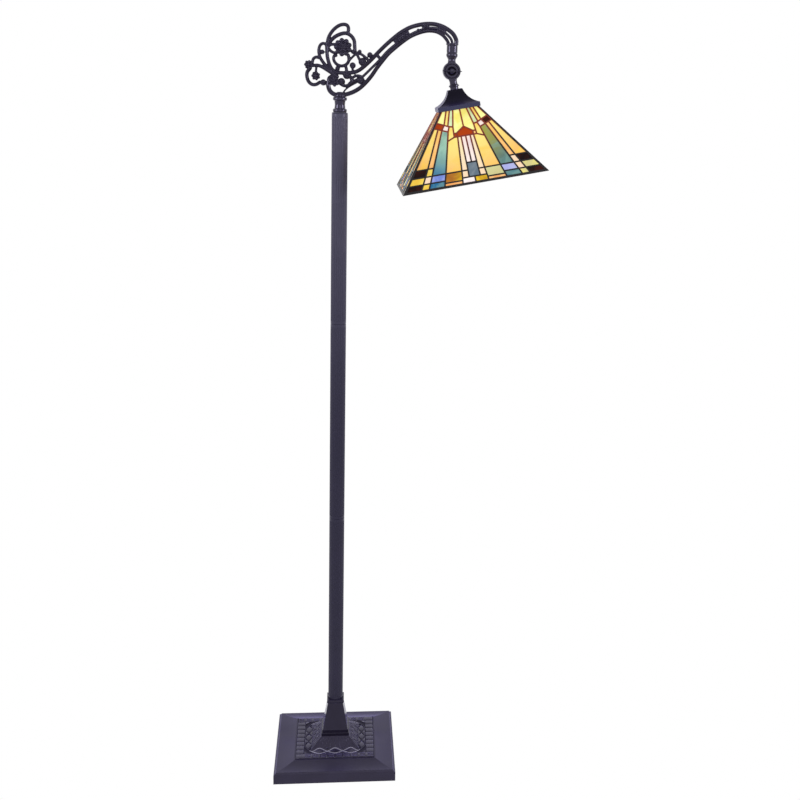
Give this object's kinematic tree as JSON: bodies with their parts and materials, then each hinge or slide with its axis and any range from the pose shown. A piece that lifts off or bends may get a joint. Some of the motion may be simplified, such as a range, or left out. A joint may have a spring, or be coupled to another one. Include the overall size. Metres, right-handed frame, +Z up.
{
  "type": "task floor lamp",
  "caption": "Floor lamp with a weighted square base, a reeded pole, a cast scrollwork arm that swivels and a tilting square leaded glass shade.",
  "frame": {"origin": "on the floor, at the middle of the foot pad, under the pole", "axes": "+Z up along the pole, +X along the arm towards the shade, -Y towards the wing screw"},
  "size_m": [0.519, 0.279, 1.5494],
  "materials": {
    "bronze": "dark bronze paint, satin, a little worn on the edges",
    "steel": "zinc plated",
    "came": "dark patina over lead came",
    "felt": "pressed felt",
    "iron": "raw casting",
    "bushing": "moulded",
    "fibre": "hard fibre",
    "brass": "lacquered",
    "screw_shell": "rolled thread",
    "bulb": "frosted inside",
    "glass_amber": "streaky opalescent art glass",
    "glass_cream": "streaky opalescent art glass",
    "glass_dark": "streaky opalescent art glass",
    "glass_honey": "streaky opalescent art glass",
    "glass_lavender": "streaky opalescent art glass",
    "glass_mint": "streaky opalescent art glass",
    "glass_orange": "streaky opalescent art glass",
    "glass_red": "streaky opalescent art glass",
    "glass_slate": "streaky opalescent art glass",
    "glass_teal": "streaky opalescent art glass",
    "glass_white": "streaky opalescent art glass",
    "glass_yellow": "streaky opalescent art glass"
  },
  "bodies": {
    "stand": {"base_plinth": "bronze", "base_riser": "bronze", "foot_pad": "felt", "cover_plate": "steel", "base_ballast": "iron", "cover_screws": "steel", "cord_grommet": "bushing", "tie_washer": "steel", "tie_nut": "steel", "tie_tube": "steel", "pole_lower": "bronze", "pole_middle": "bronze", "pole_upper": "bronze", "pole_inserts": "steel", "joint_nipples": "steel", "pole_top_plug": "bronze", "swivel_stem": "steel", "thrust_washer": "steel"},
    "arm": {"arm_neck": "bronze", "neck_stud": "steel", "arm_casting": "bronze", "arm_conduit": "bronze", "knuckle_rear": "bronze", "friction_washer": "fibre"},
    "wing_screw": {"wing_screw": "bronze"},
    "head": {"knuckle_front": "bronze", "shade_nipple": "steel", "shade_cap": "bronze", "cap_washer": "steel", "nipple_nuts": "steel", "shade_crossbar": "steel", "came_front": "came", "came_right": "came", "came_back": "came", "came_left": "came", "hip_cames": "came", "rim_channel": "came", "shade_top_ring": "came", "glass_amber": "glass_amber", "glass_cream": "glass_cream", "glass_dark": "glass_dark", "glass_honey": "glass_honey", "glass_lavender": "glass_lavender", "glass_mint": "glass_mint", "glass_orange": "glass_orange", "glass_red": "glass_red", "glass_slate": "glass_slate", "glass_teal": "glass_teal", "glass_white": "glass_white", "glass_yellow": "glass_yellow", "holder_cap": "brass", "holder_shell": "brass", "holder_insulator": "bushing", "holder_screw_shell": "screw_shell", "holder_contact": "brass"},
    "bulb": {"bulb_glass": "bulb", "bulb_cap": "screw_shell", "bulb_contact": "brass"}
  },
  "joints": [
    {"name": "arm_swivel", "type": "hinge", "parent": "stand", "child": "arm", "pos_m": [0, 0, 1.3746], "axis": [0, 0, 1], "range_deg": [-90, 90]},
    {"name": "head_tilt", "type": "hinge", "parent": "arm", "child": "head", "pos_m": [0.2144, 0, 1.459], "axis": [0, -1, 0], "range_deg": [-25, 60]},
    {"name": "wing_screw_turn", "type": "hinge", "parent": "arm", "child": "wing_screw", "pos_m": [0.2144, 0, 1.459], "axis": [0, -1, 0], "range_deg": [0, 360]},
    {"name": "bulb_unscrew", "type": "hinge", "parent": "head", "child": "bulb", "pos_m": [0.23406, 0, 1.36095], "axis": [0.1966, 0, -0.9805], "range_deg": [0, 720]}
  ]
}
